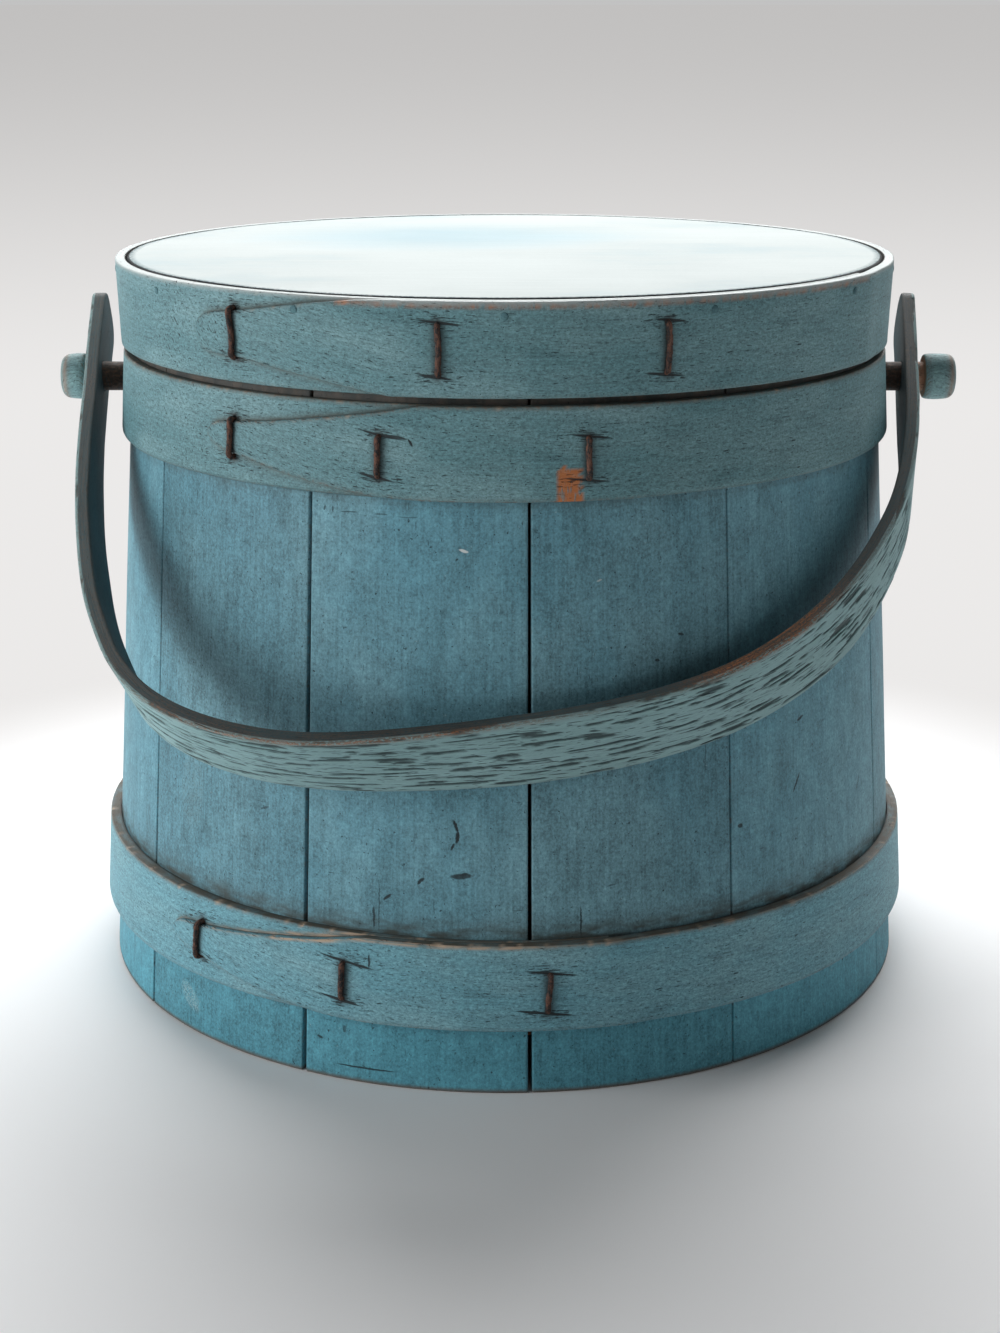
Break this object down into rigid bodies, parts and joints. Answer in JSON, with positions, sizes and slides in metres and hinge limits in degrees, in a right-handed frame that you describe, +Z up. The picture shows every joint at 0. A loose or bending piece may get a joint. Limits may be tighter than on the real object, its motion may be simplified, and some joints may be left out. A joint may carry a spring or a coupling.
{
  "type": "lidded wooden firkin",
  "caption": "Lidded wooden storage bucket of tapered staves with lapped bentwood hoops, a lift-off lid and a bentwood handle that swings on turned pegs.",
  "frame": {"origin": "on the floor under the middle of the firkin's outline, handle and pegs included", "axes": "+Z up, -Y to the front where the hoops lap and the handle hangs, +X to the right along the pegs"},
  "size_m": [0.3356, 0.3226, 0.2666],
  "materials": {
    "stave_paint": "chalky worn grey-blue milk paint",
    "hoop_paint": "chalky worn grey-blue milk paint",
    "lid_paint": "pale rubbed blue milk paint",
    "handle_paint": "worn grey-green paint in open grain",
    "bare_wood": "bare aged wood",
    "rusty_wire": "rusted iron wire"
  },
  "bodies": {
    "bucket": {"stave_01": "stave_paint", "stave_02": "stave_paint", "stave_03": "stave_paint", "stave_04": "stave_paint", "stave_05": "stave_paint", "stave_06": "stave_paint", "stave_07": "stave_paint", "stave_08": "stave_paint", "stave_09": "stave_paint", "stave_10": "stave_paint", "stave_11": "stave_paint", "stave_12": "stave_paint", "bottom_board": "bare_wood", "upper_hoop": "hoop_paint", "lower_hoop": "hoop_paint", "upper_hoop_staple_1": "rusty_wire", "upper_hoop_staple_2": "rusty_wire", "upper_hoop_staple_3": "rusty_wire", "lower_hoop_staple_1": "rusty_wire", "lower_hoop_staple_2": "rusty_wire", "lower_hoop_staple_3": "rusty_wire", "peg_left": "handle_paint", "peg_right": "handle_paint", "peg_pin_left": "bare_wood", "peg_pin_right": "bare_wood"},
    "lid": {"lid_board": "lid_paint", "lid_band": "hoop_paint", "lid_band_staple_1": "rusty_wire", "lid_band_staple_2": "rusty_wire", "lid_band_staple_3": "rusty_wire", "lid_tack_01": "rusty_wire", "lid_tack_02": "rusty_wire", "lid_tack_03": "rusty_wire", "lid_tack_04": "rusty_wire", "lid_tack_05": "rusty_wire", "lid_tack_06": "rusty_wire", "lid_tack_07": "rusty_wire", "lid_tack_08": "rusty_wire", "lid_tack_09": "rusty_wire", "lid_tack_10": "rusty_wire", "lid_tack_11": "rusty_wire", "lid_tack_12": "rusty_wire", "lid_tack_13": "rusty_wire"},
    "handle": {"handle": "handle_paint"}
  },
  "joints": [
    {"name": "handle_swing", "type": "hinge", "parent": "bucket", "child": "handle", "pos_m": [-0.00145, 0.00498, 0.2195], "axis": [-1, 0, 0], "range_deg": [0, 241.7]},
    {"name": "lid_lift", "type": "slide", "parent": "bucket", "child": "lid", "axis": [0, 0, 1], "range_m": [0, 0.12]}
  ]
}
